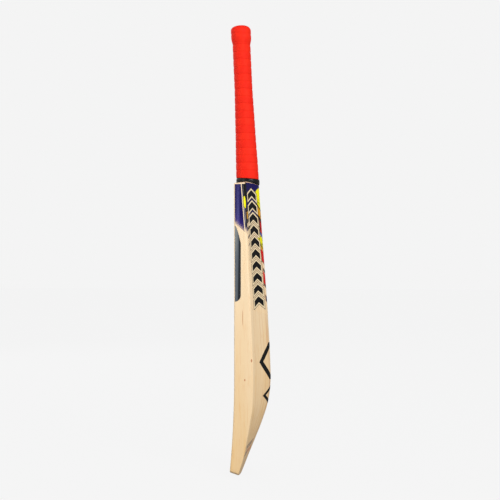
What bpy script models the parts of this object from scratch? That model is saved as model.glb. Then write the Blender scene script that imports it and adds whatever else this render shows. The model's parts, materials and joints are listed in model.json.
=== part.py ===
"""Cricket bat, short handle, full size: willow blade with a V splice, laminated cane handle,
twine binding, ribbed rubber grip and thin printed skins.

It stands on its toe, +Z up the bat. The hitting face looks towards -Y (front) and the ridge
of the back towards +Y; left is -X and right is +X. Dimensions are in millimetres and become
metres in mesh_object. The finished bat is moved so that its origin is at its lowest level.
"""

import math

import bmesh
import bpy

MM = 0.001

# ---- blade ---------------------------------------------------------------------------
BLADE_HALF_WIDTH = 54.0
SHOULDER_Z = 557.0  # top of the willow beside the handle
SHOULDER_DROP = 3.0  # how much lower the willow is at its edges
SHOULDER_ROUND = 2.8
SHOULDER_LEAN = 0.30  # the top of the willow falls away towards the ridge
SHOULDER_TIP = 0.10  # and a little towards the face
SHOULDER_LEAN_FROM = 22.0  # depth at which it is highest
SHOULDER_LEAN_RAMP = 27.0  # height below the top over which the fall sets in
SHOULDER_INNER_HALF = 20.5  # half width of the last section, next to the handle

# (height, thickness of the edge)
EDGE_STATIONS = (
    (0, 15.4), (15, 18.1), (28, 21.2), (48, 25.0), (71, 27.9), (108, 32.4), (142, 35.8),
    (190, 36.0), (271, 33.4), (350, 29.9), (430, 26.6), (500, 22.8), (SHOULDER_Z, 19.6),
)
# (height, depth of the ridge of the back)
RIDGE_STATIONS = (
    (0, 6.6), (14, 12.4), (44, 24.2), (74, 36.5), (105, 48.6), (135, 58.3), (162, 63.3),
    (188, 64.9), (219, 64.1), (295, 60.2), (379, 54.4), (486, 46.6), (SHOULDER_Z, 41.8),
)
RIDGE_ROUND = 7.0
BACK_HOLLOW = 0.28

TOE_KICK = 10.0  # the face curves forward by this much at the toe
TOE_KICK_FROM = 190.0
BOW_FROM = 400.0  # above this height the face leans forward a little, as on a bowed bat
BOW = 0.003
FACE_FLAT = 32.0  # half width of the truly flat strip of the face
FACE_CROWN = 1.2  # how far the face falls back at its edges

TOE_SLANT = 0.34  # the sole is lower towards the back
TOE_SLANT_FROM = 60.0  # height at which slant and arc begin
TOE_SLANT_DEPTH = 6.8  # the sole is raised by its slant over this depth
TOE_RISE = 4.3  # and by this much more
TOE_ARC = 9.0  # the sole rises towards its corners
TOE_CORNER = 6.0  # the sole is narrower by this much on each side
# (height above the sole, share of TOE_CORNER cut off, inset all round)
TOE_ROUNDING = ((0, 1.0, 2.4), (0.8, 0.62, 1.1), (2.4, 0.25, 0.3), (5.5, 0.04, 0.0))
BLADE_LEVELS = (
    17, 26, 38, 50, 64, 80, 96, 112, 130, 150, 170, 190, 230, 280, 330, 380, 430, 480, 515, 540,
)

CORNER_RADIUS = 2.6
CORNER_OUT = 0.7  # middle point of a corner: shares of the radius across and in depth
CORNER_IN = 0.3
# points of a section, as shares of its flat half width
FACE_SHARES = (-1.0, -0.86, -0.7, -0.5, -0.25, 0, 0.25, 0.5, 0.7, 0.86, 1.0)
BACK_SHARES = (
    -1.0, -0.8, -0.6, -0.4, -0.24, -0.12, -0.05, 0.05, 0.12, 0.24, 0.4, 0.6, 0.8, 1.0,
)

# ---- splice --------------------------------------------------------------------------
SPLICE_LENGTH = 140.0
SPLICE_TIP_Z = SHOULDER_Z - SPLICE_LENGTH
SPLICE_TOP_HALF = 17.5
SPLICE_TIP_HALF = 3.0
GLUE = 0.25
SPLICE_CUT_OVER = 30.0  # the cutter runs this far above the shoulder
SPLICE_CUT_DEPTHS = (-30.0, 100.0)
WEDGE_LEVELS = (SPLICE_TIP_Z + GLUE * 3, 450, 490, 525, SHOULDER_Z - 0.01)
WEDGE_INSET = 0.05  # the wedge lies this far under the willow's face and back

# ---- handle and grip -----------------------------------------------------------------
TOP_Z = 855.0
SIDES = 24  # points round the handle
GRIP_FROM = 565.0
# the handle leans forward: (height, depth of its centre)
LEAN_LOW = (GRIP_FROM, 20.9)
LEAN_HIGH = (836.0, 8.5)
# (height, half width, half depth) over the grip
HANDLE_STATIONS = (
    (540, 20.0, 21.9), (GRIP_FROM, 19.5, 21.5), (600, 18.9, 20.7), (638, 18.2, 19.4),
    (676, 17.8, 18.6), (706, 17.5, 17.8), (740, 17.3, 17.1), (857, 17.3, 17.0),
)
HANDLE_LEVELS = (600, 638, 676, 706, 740, 800)  # sections shared by core, twine and grip

GRIP_WALL = 1.9
LAYER_GAP = 0.3
TWINE_WALL = 0.9
# insets from the grip's surface
TWINE_INSET = GRIP_WALL + LAYER_GAP
TWINE_INNER_INSET = TWINE_INSET + TWINE_WALL
CORE_INSET = GRIP_WALL + 2 * LAYER_GAP + TWINE_WALL

CORE_START = SHOULDER_Z + 0.4
CORE_STRAIGHT_FROM = 572
CORE_DOME_DROP = 12.5  # the rounding of the core's end starts this far below TOP_Z
CORE_DOME_RADIUS = 8.0
TWINE_FROM = 568
TWINE_TOP_DROP = 13

BAND_LOW = SHOULDER_Z + 0.8
BAND_MID = SHOULDER_Z + 3.0
BAND_TOP = GRIP_FROM - 0.5
BAND_NEAR_TOP = BAND_TOP - 1.6
# insets of the band's outside, from the bottom up; negative ones stand proud of the grip
BAND_INSETS = (-0.3, -0.7, -0.5, 0.1)

GRIP_SLANT = 2.8  # the grip's lower rim comes this much lower at the back
GRIP_SLANT_FADE = 20  # height over which the slant dies out
RIB_PITCH = 14.0
RIB_DEPTH = 0.55
COLLAR_FROM = 821.0
COLLAR_EXTRA = 2.0
RIBS_END = COLLAR_FROM - 4
# (height, inset) up the outside of the collar
COLLAR_STATIONS = (
    (COLLAR_FROM - 2, 0.1), (COLLAR_FROM + 2, -0.9), (COLLAR_FROM + 9, -COLLAR_EXTRA),
    (TOP_Z - 20, -COLLAR_EXTRA), (TOP_Z - 17, -COLLAR_EXTRA + 0.5), (TOP_Z - 14, -COLLAR_EXTRA),
)
GRIP_DOME_HEIGHT = 10
GRIP_DOME_SHRINK = 13
GRIP_INNER_DOME_DROP = 11
GRIP_INNER_DOME_HEIGHT = 8.2
GRIP_INNER_DOME_SHRINK = 9.5

# ---- slabs of cane and rubber --------------------------------------------------------
SPRING = 1.5  # thickness of the rubber between the slabs of cane
SLAB_STEP = 10.5
SPRING_FROM = SPLICE_TIP_Z + 22
SPRING_TOP = TOP_Z - 7
STRIP_HALF = 5.9
OUTER_STRIP_START = 1.2  # outer strips begin where the wedge is this much wider than the middle
CELL_REACH = 60.0  # cutting boxes run this far out and up, past the handle
CELL_TOP = 900
MID_CELL_FROM = SPLICE_TIP_Z - 5

# ---- skins ---------------------------------------------------------------------------
SKIN = 0.25
SKIN_LIFT = 0.3
BACK_STICKER_XS = (0.3, 2.6, 6.2, 12.3, 20.5, 30.8, 41, 49)
BACK_STICKER_LOW = 322  # height of its lower corners
STICKER_SLOPE = 0.4  # slope of the lower borders on face and back
BACK_STICKER_RIM_GAP = 4.2
BACK_STICKER_RIM_RUN = 31  # width over which its top follows the shoulder
FACE_STICKER_XS = (-27, -14, 0, 14, 27)
FACE_STICKER_LOW = 398
FACE_STICKER_HIGH = 520.0
MOTIF_LOW = 186.0
MOTIF_HEIGHT = 66.0
MOTIF_TIP_X = 2.4  # inner side of the stroke at its two ends
MOTIF_BULGE = 19.0
MOTIF_COLUMN = 3.4
MOTIF_COLUMNS = 3
MOTIF_STEPS = 12

# name: (colour, roughness)
MATERIALS = {
    "willow": ((0.86, 0.68, 0.42), 0.5),
    "cane": ((0.72, 0.52, 0.28), 0.6),
    "spring_rubber": ((0.05, 0.05, 0.05), 0.8),
    "twine": ((0.75, 0.68, 0.52), 0.9),
    "band_rubber": ((0.02, 0.02, 0.02), 0.25),
    "grip_rubber": ((0.62, 0.02, 0.015), 0.45),
    "printed_film": ((0.03, 0.04, 0.25), 0.3),
    "edge_tape": ((0.08, 0.1, 0.14), 0.4),
    "motif_film": ((0.03, 0.03, 0.03), 0.35),
}


# ---- shape functions -----------------------------------------------------------------
def smooth(table, z, column=1):
    """Monotone cubic through the stations, so that the curves run without kinks."""
    heights = [row[0] for row in table]
    values = [row[column] for row in table]
    if z <= heights[0]:
        return values[0]
    if z >= heights[-1]:
        return values[-1]
    slopes = [
        (values[i + 1] - values[i]) / (heights[i + 1] - heights[i])
        for i in range(len(heights) - 1)
    ]
    tangents = [slopes[0]]
    for below, above in zip(slopes, slopes[1:]):
        same_way = below * above > 0
        tangents.append(2 * below * above / (below + above) if same_way else 0.0)
    tangents.append(slopes[-1])
    i = max(k for k in range(len(heights) - 1) if heights[k] <= z)
    gap = heights[i + 1] - heights[i]
    t = (z - heights[i]) / gap
    return (
        values[i] * (2 * t**3 - 3 * t**2 + 1)
        + tangents[i] * gap * (t**3 - 2 * t**2 + t)
        + values[i + 1] * (3 * t**2 - 2 * t**3)
        + tangents[i + 1] * gap * (t**3 - t**2)
    )


def ease(t):
    t = min(1.0, max(0.0, t))
    return t * t * (3 - 2 * t)


def face_plane(z):
    """Depth of the flat strip of the face."""
    low = max(0.0, TOE_KICK_FROM - z) / TOE_KICK_FROM
    return -BOW * max(0.0, z - BOW_FROM) - TOE_KICK * low * low


def face_y(x, z):
    over = max(0.0, abs(x) - FACE_FLAT) / (BLADE_HALF_WIDTH - FACE_FLAT)
    return face_plane(z) + FACE_CROWN * over * over


def back_y(x, z):
    """Depth of the back: a rounded ridge with hollowed slopes down to the edges."""
    edge = face_plane(z) + smooth(EDGE_STATIONS, z)
    ridge = max(edge, smooth(RIDGE_STATIONS, z))
    reach = math.hypot(BLADE_HALF_WIDTH, RIDGE_ROUND) - RIDGE_ROUND
    out = (math.hypot(x, RIDGE_ROUND) - RIDGE_ROUND) / reach
    return edge + (ridge - edge) * (1 - out) * (1 - BACK_HOLLOW * out)


def shoulder_shear(z, y):
    """How far the willow near its top moves down at depth y."""
    over = max(0.0, y - SHOULDER_LEAN_FROM)
    under = max(0.0, SHOULDER_LEAN_FROM - y)
    ramp = ease((z - (SHOULDER_Z - SHOULDER_LEAN_RAMP)) / SHOULDER_LEAN_RAMP)
    return -ramp * (SHOULDER_LEAN * over + SHOULDER_TIP * under)


def centre_y(z):
    """Depth of the handle's centre line."""
    (z0, y0), (z1, y1) = LEAN_LOW, LEAN_HIGH
    return y0 + (y1 - y0) * (z - z0) / (z1 - z0)


def splice_half(z):
    """Half width of the V splice."""
    t = (z - SPLICE_TIP_Z) / SPLICE_LENGTH
    return SPLICE_TIP_HALF + (SPLICE_TOP_HALF - SPLICE_TIP_HALF) * t


# ---- helpers -------------------------------------------------------------------------
def clear():
    for obj in list(bpy.data.objects):
        bpy.data.objects.remove(obj, do_unlink=True)


def collection(name):
    made = bpy.data.collections.new(name)
    bpy.context.scene.collection.children.link(made)
    return made


def material(name, colour, roughness):
    made = bpy.data.materials.new(name)
    made.use_nodes = True
    made.diffuse_color = (*colour, 1)
    shader = made.node_tree.nodes["Principled BSDF"]
    shader.inputs["Base Color"].default_value = (*colour, 1)
    shader.inputs["Roughness"].default_value = roughness
    return made


def mesh_object(name, points, faces, where, mat=None, shade_smooth=False):
    """Object from points in millimetres, with merged doubles and outward normals."""
    mesh = bpy.data.meshes.new(name)
    mesh.from_pydata([tuple(c * MM for c in point) for point in points], [], faces)
    work = bmesh.new()
    work.from_mesh(mesh)
    bmesh.ops.remove_doubles(work, verts=work.verts, dist=1e-6)
    bmesh.ops.triangulate(work, faces=[f for f in work.faces if len(f.verts) > 4])
    bmesh.ops.recalc_face_normals(work, faces=work.faces)
    if work.calc_volume(signed=True) < 0:
        bmesh.ops.reverse_faces(work, faces=work.faces)
    work.to_mesh(mesh)
    work.free()
    for face in mesh.polygons:
        face.use_smooth = shade_smooth
    if mat:
        mesh.materials.append(mat)
    made = bpy.data.objects.new(name, mesh)
    where.objects.link(made)
    return made


def bridge(rings, loop=False):
    """Quads between successive closed rings of equal count."""
    count = len(rings[0])
    points = [point for ring in rings for point in ring]
    faces = []
    for r in range(len(rings) if loop else len(rings) - 1):
        low, high = r * count, ((r + 1) % len(rings)) * count
        for k in range(count):
            j = (k + 1) % count
            faces.append((low + k, low + j, high + j, high + k))
    return points, faces


def capped(rings):
    """Bridged rings closed by one face at each end."""
    points, faces = bridge(rings)
    count = len(rings[0])
    for base in (0, len(points) - count):
        faces.append(tuple(range(base, base + count)))
    return points, faces


def cut(obj, cutter, operation):
    """Applies an exact boolean and cleans the mesh; the cutter stays as a hidden helper."""
    modifier = obj.modifiers.new("cut", "BOOLEAN")
    modifier.operation = operation
    modifier.solver = "EXACT"
    modifier.object = cutter
    cutter.hide_render = True
    cutter.display_type = "WIRE"

    graph = bpy.context.evaluated_depsgraph_get()
    mesh = bpy.data.meshes.new_from_object(obj.evaluated_get(graph))
    obj.modifiers.clear()
    obj.data = mesh
    work = bmesh.new()
    work.from_mesh(mesh)
    bmesh.ops.remove_doubles(work, verts=work.verts, dist=2e-6)
    bmesh.ops.dissolve_degenerate(work, edges=work.edges, dist=2e-6)
    work.to_mesh(mesh)
    work.free()
    return obj


# ---- the willow blade ----------------------------------------------------------------
def blade_ring(level, half, inset=0.0):
    """One closed section: the face from -x to +x, an edge, the back from +x to -x, an edge."""
    toe = ease((TOE_SLANT_FROM - level) / TOE_SLANT_FROM)
    slant = TOE_SLANT * toe
    arc = TOE_ARC * toe
    middle = (face_plane(level) + back_y(0, level)) / 2

    def place(x, side, off):
        """side is 0 on the face and 1 on the back; off is the corner's rounding in depth."""
        z = level
        # the height depends on the depth and the depth on the height: two rounds settle it
        for _ in range(2):
            low = face_y(x, z) + inset + off
            high = back_y(x, z) - inset - off
            y = low + (high - low) * side
            z = level - slant * (y - middle) + arc * (x / BLADE_HALF_WIDTH) ** 2
            z += shoulder_shear(level, y)
        return (x, y, z)

    wide = half - inset
    radius = CORNER_RADIUS
    flat = wide - radius
    corner_x, corner_off = flat + radius * CORNER_OUT, radius * CORNER_IN
    right_edge = [
        (corner_x, 0, corner_off), (wide, 0, radius), (wide, 1, radius), (corner_x, 1, corner_off),
    ]
    spots = [(share * flat, 0, 0) for share in FACE_SHARES]
    spots += right_edge
    spots += [(-share * flat, 1, 0) for share in BACK_SHARES]
    spots += [(-x, 1 - side, off) for x, side, off in right_edge]
    return [place(*spot) for spot in spots]


def blade_rings():
    sole = TOE_SLANT * TOE_SLANT_DEPTH + TOE_RISE
    rings = [
        blade_ring(sole + up, BLADE_HALF_WIDTH - TOE_CORNER * share, inset)
        for up, share, inset in TOE_ROUNDING
    ]
    rings += [blade_ring(z, BLADE_HALF_WIDTH) for z in BLADE_LEVELS]
    # rounded shoulder, then the top rising towards the handle
    top = SHOULDER_Z - SHOULDER_DROP
    for degrees in (26, 56, 86):
        angle = math.radians(degrees)
        level = top - SHOULDER_ROUND * (1 - math.sin(angle))
        rings.append(blade_ring(level, BLADE_HALF_WIDTH - SHOULDER_ROUND * (1 - math.cos(angle))))
    for t in (0.5, 1.0):
        half = (1 - t) * (BLADE_HALF_WIDTH - SHOULDER_ROUND) + t * SHOULDER_INNER_HALF
        rings.append(blade_ring(top + SHOULDER_DROP * t, half))
    return rings


def end_triangles(ring, base):
    """Triangles across an end section, between its face side and its back side."""
    front_count = len(FACE_SHARES) + 2  # the face and the front half of the right edge
    front = list(range(front_count))
    back = list(range(len(ring) - 1, front_count - 1, -1))
    front_xs = [ring[k][0] for k in front] + [math.inf]
    back_xs = [ring[k][0] for k in back] + [math.inf]
    faces = []
    i = j = 0
    # both sides are walked from -x, always advancing the one that lags behind
    while i < len(front) - 1 or j < len(back) - 1:
        if front_xs[i + 1] <= back_xs[j + 1]:
            faces.append((base + front[i], base + front[i + 1], base + back[j]))
            i += 1
        else:
            faces.append((base + front[i], base + back[j + 1], base + back[j]))
            j += 1
    return faces


def build_blade(where, cutters, mat):
    rings = blade_rings()
    points, faces = bridge(rings)
    faces += end_triangles(rings[0], 0)
    faces += end_triangles(rings[-1], len(points) - len(rings[-1]))
    blade = mesh_object("blade", points, faces, where, mat, True)

    top = SHOULDER_Z + SPLICE_CUT_OVER
    top_half, tip_half = splice_half(top), splice_half(SPLICE_TIP_Z)
    outline = [
        (-top_half, top), (-tip_half, SPLICE_TIP_Z), (tip_half, SPLICE_TIP_Z), (top_half, top),
    ]
    sides = [[(x, y, z) for x, z in outline] for y in SPLICE_CUT_DEPTHS]
    return cut(blade, mesh_object("cut_splice", *capped(sides), cutters), "DIFFERENCE")


# ---- the cane handle -----------------------------------------------------------------
def oval(z, inset, shear=False, slant=0.0):
    """Section of the handle, this far inside the grip's surface, starting at the back."""
    half_width = smooth(HANDLE_STATIONS, z, 1)
    half_depth = smooth(HANDLE_STATIONS, z, 2)
    ring = []
    for k in range(SIDES):
        angle = 2 * math.pi * k / SIDES
        y = centre_y(z) + (half_depth - inset) * math.cos(angle)
        x = (half_width - inset) * math.sin(angle)
        drop = slant * GRIP_SLANT * (1 + math.cos(angle)) / 2
        ring.append((x, y, z - drop + (shoulder_shear(SHOULDER_Z, y) if shear else 0)))
    return ring


def dome(base, height, inset, shrink, angles):
    """Ovals closing in over a rounded end; angles in degrees up from its base."""
    rings = []
    for degrees in angles:
        angle = math.radians(degrees)
        z = base + height * math.sin(angle)
        rings.append(oval(z, inset + shrink * (1 - math.cos(angle))))
    return rings


def wedge_ring(level):
    """Four-sided section of the splice wedge, with the same points as an oval."""
    ring = []
    for k in range(SIDES):
        angle = 2 * math.pi * k / SIDES
        across, deep = math.sin(angle), math.cos(angle)
        big = max(abs(across), abs(deep))
        side = (1 - deep / big) / 2  # 0 on the back, 1 on the face
        z = level
        # three rounds settle the height against the lean of the shoulder
        for _ in range(3):
            x = (splice_half(z) - GLUE) * across / big
            low, high = face_y(x, z) + WEDGE_INSET, back_y(x, z) - WEDGE_INSET
            y = high + (low - high) * side
            z = level + shoulder_shear(level, y)
        ring.append((x, y, z))
    return ring


def core_rings():
    dome_base = TOP_Z - CORE_DOME_DROP
    rings = [wedge_ring(z) for z in WEDGE_LEVELS]
    rings.append(oval(CORE_START, CORE_INSET, True))
    rings += [oval(z, CORE_INSET) for z in (CORE_STRAIGHT_FROM, *HANDLE_LEVELS, dome_base)]
    rings += dome(dome_base, CORE_DOME_RADIUS, CORE_INSET, CORE_DOME_RADIUS, (30, 60, 90))
    return rings


def cell(name, xs, depths, heights, cutters):
    """A leaning box: x and z limits, and depth limits from the handle's centre line."""
    (x0, x1), (near, far) = xs, depths
    rings = []
    for z in heights:
        y = centre_y(z)
        rings.append([(x0, y + near, z), (x1, y + near, z), (x1, y + far, z), (x0, y + far, z)])
    return mesh_object(name, *capped(rings), cutters)


def build_handle(where, cutters, cane, rubber):
    """Four slabs of three cane strips each, with three sheets of rubber between the slabs."""
    core = capped(core_rings())
    outer_from = SPLICE_TIP_Z + SPLICE_LENGTH * (
        STRIP_HALF + OUTER_STRIP_START - SPLICE_TIP_HALF
    ) / (SPLICE_TOP_HALF - SPLICE_TIP_HALF)
    half = SPRING / 2
    slabs = {  # depth limits
        "front": (-CELL_REACH, -SLAB_STEP - half - GLUE),
        "front_inner": (-SLAB_STEP + half + GLUE, -half - GLUE),
        "back_inner": (half + GLUE, SLAB_STEP - half - GLUE),
        "back": (SLAB_STEP + half + GLUE, CELL_REACH),
    }
    strips = {  # x limits and lowest height
        "left": ((-CELL_REACH, -STRIP_HALF - GLUE / 2), outer_from),
        "mid": ((-STRIP_HALF + GLUE / 2, STRIP_HALF - GLUE / 2), MID_CELL_FROM),
        "right": ((STRIP_HALF + GLUE / 2, CELL_REACH), outer_from),
    }
    made = []
    for slab, depths in slabs.items():
        for strip, (xs, low) in strips.items():
            piece = mesh_object(f"cane_{slab}_{strip}", *core, where, cane)
            box = cell(f"cell_{slab}_{strip}", xs, depths, (low, CELL_TOP), cutters)
            made.append(cut(piece, box, "INTERSECT"))
    for label, depth in (("front", -SLAB_STEP), ("mid", 0.0), ("back", SLAB_STEP)):
        piece = mesh_object(f"spring_{label}", *core, where, rubber)
        box = cell(
            f"cell_spring_{label}", (-CELL_REACH, CELL_REACH), (depth - half, depth + half),
            (SPRING_FROM, SPRING_TOP), cutters,
        )
        made.append(cut(piece, box, "INTERSECT"))
    return made


# ---- binding, band and grip ----------------------------------------------------------
def sleeve(name, outer, inner, where, mat):
    """Closed tube from outer rings going up and inner rings, also listed upwards."""
    points, faces = bridge(outer + inner[::-1], loop=True)
    return mesh_object(name, points, faces, where, mat, True)


def build_twine(where, mat):
    levels = (TWINE_FROM, *HANDLE_LEVELS, TOP_Z - TWINE_TOP_DROP)
    outer = [oval(z, TWINE_INSET) for z in levels]
    inner = [oval(z, TWINE_INNER_INSET) for z in levels]
    return sleeve("twine_binding", outer, inner, where, mat)


def build_band(where, mat):
    """Band between the willow's sloping top and the grip's slanted rim."""
    low, mid, near_top, top = BAND_INSETS
    outer = [
        oval(BAND_LOW, low, shear=True),
        oval(BAND_MID, mid, shear=True),
        oval(BAND_NEAR_TOP, near_top, slant=0.9),
        oval(BAND_TOP, top, slant=1.0),
    ]
    inner = [
        oval(BAND_LOW, TWINE_INNER_INSET, shear=True),
        oval(BAND_TOP, TWINE_INNER_INSET, slant=1.0),
    ]
    return sleeve("base_band", outer, inner, where, mat)


def build_grip(where, mat):
    outer = [oval(GRIP_FROM, RIB_DEPTH, slant=1.0)]
    z = GRIP_FROM + RIB_PITCH / 2
    crest = True
    while z < RIBS_END:
        slant = max(0.0, 1 - (z - GRIP_FROM) / GRIP_SLANT_FADE)
        outer.append(oval(z, 0.0 if crest else RIB_DEPTH, slant=slant))
        z += RIB_PITCH / 2
        crest = not crest
    outer += [oval(z, inset) for z, inset in COLLAR_STATIONS]
    outer += dome(
        TOP_Z - GRIP_DOME_HEIGHT, GRIP_DOME_HEIGHT, -COLLAR_EXTRA, GRIP_DOME_SHRINK,
        (0, 25, 50, 70, 90),
    )
    dome_base = TOP_Z - GRIP_INNER_DOME_DROP
    inner = [oval(GRIP_FROM, GRIP_WALL, slant=1.0)]
    inner += [oval(z, GRIP_WALL) for z in (*HANDLE_LEVELS, dome_base)]
    inner += dome(
        dome_base, GRIP_INNER_DOME_HEIGHT, GRIP_WALL, GRIP_INNER_DOME_SHRINK, (35, 65, 90)
    )
    return sleeve("grip", outer, inner, where, mat)


# ---- thin skins on the blade ---------------------------------------------------------
def skin(name, grid, where, mat):
    """Closed thin sheet from rows of (point, outward direction)."""
    rows, columns = len(grid), len(grid[0])
    points, faces = [], []
    for lift in (SKIN_LIFT, SKIN_LIFT + SKIN):
        for row in grid:
            for point, way in row:
                points.append(tuple(point[i] + way[i] * lift for i in range(3)))
    size = rows * columns
    for r in range(rows - 1):
        for c in range(columns - 1):
            a = r * columns + c
            quad = (a, a + 1, a + columns + 1, a + columns)
            faces.append(quad)
            faces.append(tuple(size + quad[i] for i in (0, 3, 2, 1)))
    rim = list(range(columns))
    rim += [r * columns + columns - 1 for r in range(1, rows)]
    rim += [(rows - 1) * columns + c for c in range(columns - 2, -1, -1)]
    rim += [r * columns for r in range(rows - 2, 0, -1)]
    for a, b in zip(rim, rim[1:] + rim[:1]):
        faces.append((a, b, size + b, size + a))
    return mesh_object(name, points, faces, where, mat)


def on_surface(surface, x, z):
    """Point and outward normal on the blade; surface is face_y or back_y."""
    way = 1 if surface is back_y else -1
    slope = surface(x + 0.5, z) - surface(x - 0.5, z)
    rise = (surface(x, z + 2) - surface(x, z - 2)) / 4
    length = math.sqrt(1 + slope * slope + rise * rise)
    normal = (-way * slope / length, way / length, -way * rise / length)
    return (x, surface(x, z), z), normal


def edge_skin(name, side, low_at, high_at, shares, steps, where, mat):
    """Skin on one edge; shares run over the edge's flat, 0 at the face and 1 at the back."""
    grid = []
    for k in range(steps + 1):
        row = []
        for share in shares:
            z = low_at(share) + (high_at(share) - low_at(share)) * k / steps
            low = face_y(BLADE_HALF_WIDTH, z) + CORNER_RADIUS
            high = back_y(BLADE_HALF_WIDTH, z) - CORNER_RADIUS
            point = (side * BLADE_HALF_WIDTH, low + (high - low) * share, z)
            row.append((point, (side, 0, 0)))
        grid.append(row)
    return skin(name, grid, where, mat)


def panel_skin(name, surface, xs, low_at, high_at, steps, where, mat):
    """Skin on the face or the back between the given x positions."""
    grid = [
        [on_surface(surface, x, low_at(x) + (high_at(x) - low_at(x)) * k / steps) for x in xs]
        for k in range(steps + 1)
    ]
    return skin(name, grid, where, mat)


def back_sticker_low(x):
    return BACK_STICKER_LOW - STICKER_SLOPE * (BACK_STICKER_XS[-1] - abs(x))


def back_sticker_top(x):
    """Just under the rim of the willow's top."""
    inward = (BLADE_HALF_WIDTH - SHOULDER_ROUND - abs(x)) / BACK_STICKER_RIM_RUN
    z = SHOULDER_Z - BACK_STICKER_RIM_GAP + SHOULDER_DROP * min(1.0, inward)
    return z + shoulder_shear(z, back_y(x, z))


def motif_skin(name, side, where, mat):
    """Bent stroke on the back's slope: half of a tall diamond that nears its twin at the ridge."""
    grid = []
    for k in range(MOTIF_STEPS + 1):
        t = k / MOTIF_STEPS
        z = MOTIF_LOW + MOTIF_HEIGHT * t
        inside = MOTIF_TIP_X + MOTIF_BULGE * (1 - abs(2 * t - 1))
        grid.append([
            on_surface(back_y, side * (inside + MOTIF_COLUMN * c), z)
            for c in range(MOTIF_COLUMNS + 1)
        ])
    return skin(name, grid, where, mat)


def build_skins(where, film, tape, motif):
    made = []
    for side, label in ((1, "right"), (-1, "left")):
        made.append(edge_skin(
            f"edge_sticker_{label}", side,
            low_at=lambda share: 480 - 19 * share,
            high_at=lambda share: 548.8,
            shares=(0.0, 0.5, 1.0), steps=5, where=where, mat=film,
        ))
        made.append(edge_skin(
            f"edge_tape_{label}", side,
            low_at=lambda share: 334 + 12 * share,
            high_at=lambda share: 474 - 70 * share,
            shares=(0.0, 0.22, 0.45), steps=7, where=where, mat=tape,
        ))
        made.append(panel_skin(
            f"back_sticker_{label}", back_y, [side * x for x in BACK_STICKER_XS],
            back_sticker_low, back_sticker_top, steps=9, where=where, mat=film,
        ))
        made.append(motif_skin(f"back_motif_{label}", side, where, motif))
    made.append(panel_skin(
        "face_sticker", face_y, FACE_STICKER_XS,
        low_at=lambda x: FACE_STICKER_LOW + STICKER_SLOPE * abs(x),
        high_at=lambda x: FACE_STICKER_HIGH,
        steps=2, where=where, mat=film,
    ))
    return made


# ---- assembly ------------------------------------------------------------------------
def settle(pieces):
    """Moves everything so that the lowest level is at z = 0 and the depth is centred on y = 0."""
    points = [vertex.co for piece in pieces for vertex in piece.data.vertices]
    ys = [point.y for point in points]
    shift = (0, -(min(ys) + max(ys)) / 2, -min(point.z for point in points))
    for obj in bpy.data.objects:
        obj.location = shift


def main():
    clear()
    bat = collection("cricket_bat")
    cutters = collection("cutters")
    mats = {name: material(name, *look) for name, look in MATERIALS.items()}
    pieces = [build_blade(bat, cutters, mats["willow"])]
    pieces += build_handle(bat, cutters, mats["cane"], mats["spring_rubber"])
    pieces.append(build_twine(bat, mats["twine"]))
    pieces.append(build_band(bat, mats["band_rubber"]))
    pieces.append(build_grip(bat, mats["grip_rubber"]))
    pieces += build_skins(bat, mats["printed_film"], mats["edge_tape"], mats["motif_film"])
    settle(pieces)


main()
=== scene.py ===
"""A cricket bat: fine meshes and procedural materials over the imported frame.

The bat stands on its toe. X runs across the blade, Y from the hitting face (front) to the
ridged back, and Z up the length. The design is in millimetres: depths (Y) are counted from the
hitting face and heights (Z) from under the toe. add_mesh and Sheet carry these lengths over to
the frame's metres.
"""
import json
import math
import bmesh
import bpy
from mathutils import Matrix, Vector


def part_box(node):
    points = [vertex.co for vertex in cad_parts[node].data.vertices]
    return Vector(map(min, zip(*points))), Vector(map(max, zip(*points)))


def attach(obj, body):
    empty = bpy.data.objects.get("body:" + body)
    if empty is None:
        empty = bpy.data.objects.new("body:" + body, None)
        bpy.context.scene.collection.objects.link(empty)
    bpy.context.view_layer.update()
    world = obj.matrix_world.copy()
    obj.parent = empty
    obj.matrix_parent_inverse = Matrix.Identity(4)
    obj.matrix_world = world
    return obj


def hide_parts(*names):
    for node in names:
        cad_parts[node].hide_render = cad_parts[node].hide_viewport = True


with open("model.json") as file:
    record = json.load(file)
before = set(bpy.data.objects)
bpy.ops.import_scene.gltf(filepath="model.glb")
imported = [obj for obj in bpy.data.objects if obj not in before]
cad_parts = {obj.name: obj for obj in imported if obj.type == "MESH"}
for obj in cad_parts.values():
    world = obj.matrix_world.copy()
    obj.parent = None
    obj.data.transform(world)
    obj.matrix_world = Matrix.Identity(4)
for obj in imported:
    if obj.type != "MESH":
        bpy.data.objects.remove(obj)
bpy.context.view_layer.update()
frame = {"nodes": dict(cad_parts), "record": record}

# ---- where the frame puts things -----------------------------------------------------
FACE_PLANE = frame["record"]["mounts"][0]["pos_m"][1] * 1000  # frame Y of the hitting face, mm
BLADE_BOX = [[c * 1000 for c in corner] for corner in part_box("blade")]
GRIP_BOX = [[c * 1000 for c in corner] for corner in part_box("grip")]
BLADE_HALF_WIDTH = (BLADE_BOX[1][0] - BLADE_BOX[0][0]) / 2
SHOULDER_Z = 557.0
TOP_Z = 855.0
DROP = GRIP_BOX[1][2] - TOP_Z  # added to a design height, gives the frame's
GRIP_SLANT = 2.8  # how much lower the grip's rim is at the back
GRIP_FROM = GRIP_BOX[0][2] - DROP + GRIP_SLANT

# ---- the blade's lines ---------------------------------------------------------------
SHOULDER_DROP = 3.0
SHOULDER_ROUND = 2.8
SHOULDER_LEAN = 0.30  # fall per mm of depth behind SHOULDER_LEAN_FROM
SHOULDER_LEAN_FROM = 22.0
SHOULDER_TIP = 0.10  # fall per mm of depth in front of it
SHOULDER_LEAN_ZONE = 27.0  # height over which the lean sets in
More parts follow.
